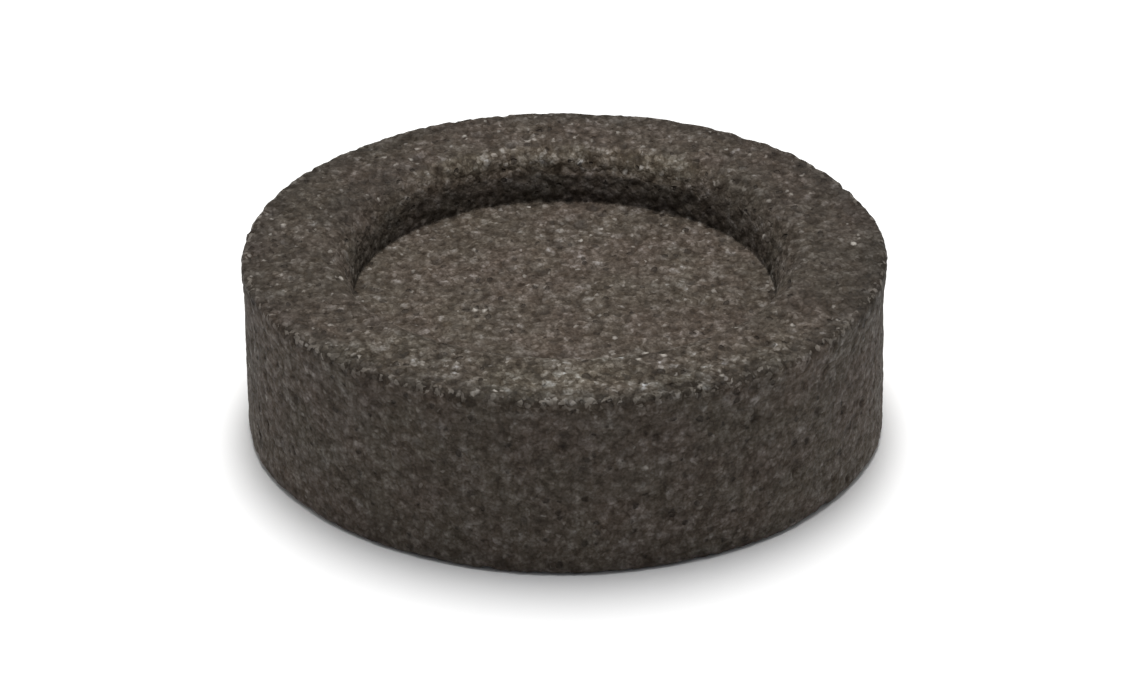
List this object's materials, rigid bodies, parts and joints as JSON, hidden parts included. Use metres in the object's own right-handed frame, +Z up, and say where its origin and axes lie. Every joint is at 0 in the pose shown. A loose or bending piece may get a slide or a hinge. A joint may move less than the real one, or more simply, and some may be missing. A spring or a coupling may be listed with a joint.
{
  "type": "molcajete",
  "caption": "Squat round mortar carved from one block of dark volcanic stone, with a wide flat rim and a shallow flat-floored recess.",
  "frame": {"origin": "centre of the flat base, on the surface that the stone stands on", "axes": "+Z up along the stone's axis of revolution, +X to the right and +Y away in the front view"},
  "size_m": [0.2012, 0.2012, 0.059],
  "materials": {
    "basalt": "rough matt vesicular basalt, fine dark brown-grey grain with pores and small bright mineral specks"
  },
  "bodies": {
    "root": {"mortar_bowl": "basalt"}
  },
  "joints": []
}
